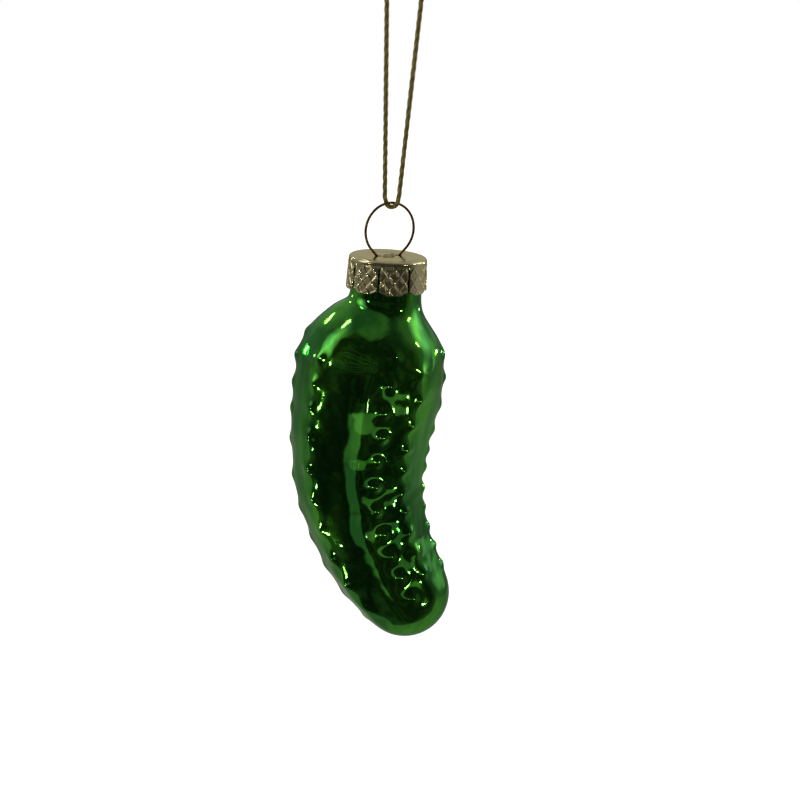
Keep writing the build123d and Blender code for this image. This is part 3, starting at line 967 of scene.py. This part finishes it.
class ORNAMENT_OT_stage(bpy.types.Operator):
    """Pale floor, soft studio light and the camera"""
    bl_idname = "ornament.stage"
    bl_label = "Stage"

    def execute(self, context):
        scene = context.scene
        scene.view_settings.view_transform = "Standard"
        self.floor()
        self.surround(scene)
        self.lamps(scene)
        self.camera(scene)
        return {"FINISHED"}

    def floor(self):
        """White to the eye, and a little darker where the glass mirrors it."""
        bpy.ops.mesh.primitive_plane_add(size=1, location=FLOOR_PLACE)
        floor = bpy.context.object
        floor.name = "floor"
        floor.scale = FLOOR_SIZE
        colour = linear("#ddddda")
        made, tree = material("matt_white_paper", colour)
        paper = node(tree, "ShaderNodeBsdfDiffuse", {"Color": (*colour, 1)})
        ray = node(tree, "ShaderNodeLightPath")
        glow = node(tree, "ShaderNodeEmission", {"Color": (1, 1, 1, 1)},
                    {"Strength": ray.outputs["Is Camera Ray"]})
        both = node(tree, "ShaderNodeAddShader",
                    links={0: paper.outputs["BSDF"], 1: glow.outputs["Emission"]})
        node(tree, "ShaderNodeOutputMaterial", links={"Surface": both.outputs["Shader"]})
        floor.data.materials.append(made)

    def surround(self, scene):
        """White to the eye; lit from the sides and from behind, with a dim room in front."""
        world = bpy.data.worlds.new("studio")
        scene.world = world
        world.use_nodes = True
        tree = world.node_tree
        tree.nodes.clear()
        place = node(tree, "ShaderNodeTexCoord")
        way = node(tree, "ShaderNodeSeparateXYZ", links={"Vector": place.outputs["Generated"]})
        ahead = node(tree, "ShaderNodeMath", {"operation": "MULTIPLY", 1: -1.0}, {0: way.outputs["Y"]})
        turn = node(tree, "ShaderNodeMath", {"operation": "ARCTAN2"},
                    {0: way.outputs["X"], 1: ahead.outputs["Value"]})
        # Dim shapes in the room mottle the dark of the glass
        clutter = node(tree, "ShaderNodeTexNoise", {"Scale": 7.0, "Detail": 4.0, "Roughness": 0.6},
                       {"Vector": place.outputs["Generated"]})
        shapes = node(tree, "ShaderNodeMapRange", {"From Min": 0.5, "From Max": 0.72},
                      {"Value": clutter.outputs["Fac"]})
        filled = node(tree, "ShaderNodeMix",
                      {"data_type": "RGBA", "blend_type": "ADD", 7: CLUTTER_LIGHT},
                      {0: shapes.outputs["Result"], 6: self.walls(tree, way)})
        layers = [(panel(tree, turn, way, *shape), (level, level, PANEL_BLUE * level, 1))
                  for *shape, level in ROOM_PANELS]
        layers.append((self.blind(tree, turn, way), BLIND_LIGHT))
        low, high = CEILING_START
        ceiling = node(tree, "ShaderNodeMapRange", {"From Min": low, "From Max": high},
                       {"Value": way.outputs["Z"]})
        layers.append((ceiling.outputs["Result"], CEILING_LIGHT))
        room = filled.outputs[2]
        for share, light in layers:
            over = node(tree, "ShaderNodeMix", {"data_type": "RGBA", 7: light}, {0: share, 6: room})
            room = over.outputs[2]
        ray = node(tree, "ShaderNodeLightPath")
        lit = node(tree, "ShaderNodeBackground", {"Strength": 1.0}, {"Color": room})
        paper = node(tree, "ShaderNodeBackground", {"Color": (1, 1, 1, 1), "Strength": 1.0})
        mixed = node(tree, "ShaderNodeMixShader",
                     links={0: ray.outputs["Is Camera Ray"], 1: lit.outputs["Background"],
                            2: paper.outputs["Background"]})
        node(tree, "ShaderNodeOutputWorld", links={"Surface": mixed.outputs["Shader"]})

    def walls(self, tree, way):
        """Plain light of the room, which changes with depth and with level."""
        depth = node(tree, "ShaderNodeMapRange", {"From Min": -1.0}, {"Value": way.outputs["Y"]})
        lights = []
        for stops in (ROOM_BELOW, ROOM_ABOVE):
            ramp = node(tree, "ShaderNodeValToRGB", links={"Fac": depth.outputs["Result"]})
            while len(ramp.color_ramp.elements) < len(stops):
                ramp.color_ramp.elements.new(0.5)
            for element, (position, level) in zip(ramp.color_ramp.elements, stops):
                element.position = position
                element.color = (level, level, level, 1)
            lights.append(ramp.outputs["Color"])
        low, high = ROOM_TURNOVER
        height = node(tree, "ShaderNodeMapRange", {"From Min": low, "From Max": high},
                      {"Value": way.outputs["Z"]})
        walls = node(tree, "ShaderNodeMix", {"data_type": "RGBA"},
                     {0: height.outputs["Result"], 6: lights[0], 7: lights[1]})
        return walls.outputs[2]

    def blind(self, tree, turn, way):
        """Share of the lit edges of a blind's slats."""
        slats = node(tree, "ShaderNodeMath", {"operation": "MULTIPLY", 1: SLAT_WAVES},
                     {0: way.outputs["Z"]})
        wave = node(tree, "ShaderNodeMath", {"operation": "SINE"}, {0: slats.outputs["Value"]})
        edges = node(tree, "ShaderNodeMapRange", {"From Min": 0.75, "From Max": 1.0},
                     {"Value": wave.outputs["Value"]})
        blind = node(tree, "ShaderNodeMath", {"operation": "MULTIPLY"},
                     {0: edges.outputs["Result"], 1: panel(tree, turn, way, *BLIND)})
        return blind.outputs["Value"]

    def lamps(self, scene):
        """Lamps round the ornament, each turned to it, that the camera doesn't see."""
        for name, way, distance, wide, tall, radiance in LAMPS:
            data = bpy.data.lights.new(name, "AREA")
            data.shape = "RECTANGLE"
            data.size, data.size_y = wide, tall
            data.energy = radiance * math.pi * wide * tall
            data.color = LAMP_COLOUR
            lamp = bpy.data.objects.new(name, data)
            scene.collection.objects.link(lamp)
            lamp.visible_camera = False
            lamp.location = LAMP_AIM + Vector(way).normalized() * distance
            lamp.rotation_euler = (LAMP_AIM - lamp.location).to_track_quat("-Z", "Y").to_euler()

    def camera(self, scene):
        """The photograph's view: a little from above, and rolled."""
        data = bpy.data.cameras.new("camera")
        data.lens = CAMERA_LENS
        data.sensor_width = 36.0
        camera = bpy.data.objects.new("camera", data)
        scene.collection.objects.link(camera)
        back = Vector((0, -math.cos(CAMERA_RISE), math.sin(CAMERA_RISE)))
        look = (-back).to_track_quat("-Z", "Y").to_matrix().to_4x4()
        roll = Matrix.Rotation(CAMERA_ROLL, 4, "Z")
        camera.matrix_world = Matrix.Translation(CAMERA_AIM + back * CAMERA_DISTANCE) @ look @ roll
        data.clip_start, data.clip_end = 0.01, 50
        scene.camera = camera


class ORNAMENT_PT_panel(bpy.types.Panel):
    """Sizes, colours and pieces of the ornament"""
    bl_idname = "ORNAMENT_PT_panel"
    bl_label = "Pickle ornament"
    bl_space_type = "VIEW_3D"
    bl_region_type = "UI"
    bl_category = "Ornament"

    def draw(self, context):
        for group in (sizes(), colours()):
            for name in group.__annotations__:
                self.layout.prop(group, name)
        for operator in OPERATORS:
            self.layout.operator(operator.bl_idname)


OPERATORS = (ORNAMENT_OT_stage, ORNAMENT_OT_glass_body, ORNAMENT_OT_cap, ORNAMENT_OT_hanger_wire,
             ORNAMENT_OT_cord_knot, ORNAMENT_OT_hanging_cord)
CLASSES = (OrnamentSizes, OrnamentColours, *OPERATORS, ORNAMENT_PT_panel)


def register():
    for cls in CLASSES:
        bpy.utils.register_class(cls)
    bpy.types.Scene.ornament_sizes = PointerProperty(type=OrnamentSizes)
    bpy.types.Scene.ornament_colours = PointerProperty(type=OrnamentColours)


def unregister():
    del bpy.types.Scene.ornament_colours
    del bpy.types.Scene.ornament_sizes
    for cls in reversed(CLASSES):
        bpy.utils.unregister_class(cls)


def main():
    register()
    bpy.ops.ornament.stage()
    bpy.ops.ornament.glass_body()
    bpy.ops.ornament.cap()
    bpy.ops.ornament.hanger_wire()
    bpy.ops.ornament.cord_knot()
    bpy.ops.ornament.hanging_cord()


if __name__ == "__main__":
    main()
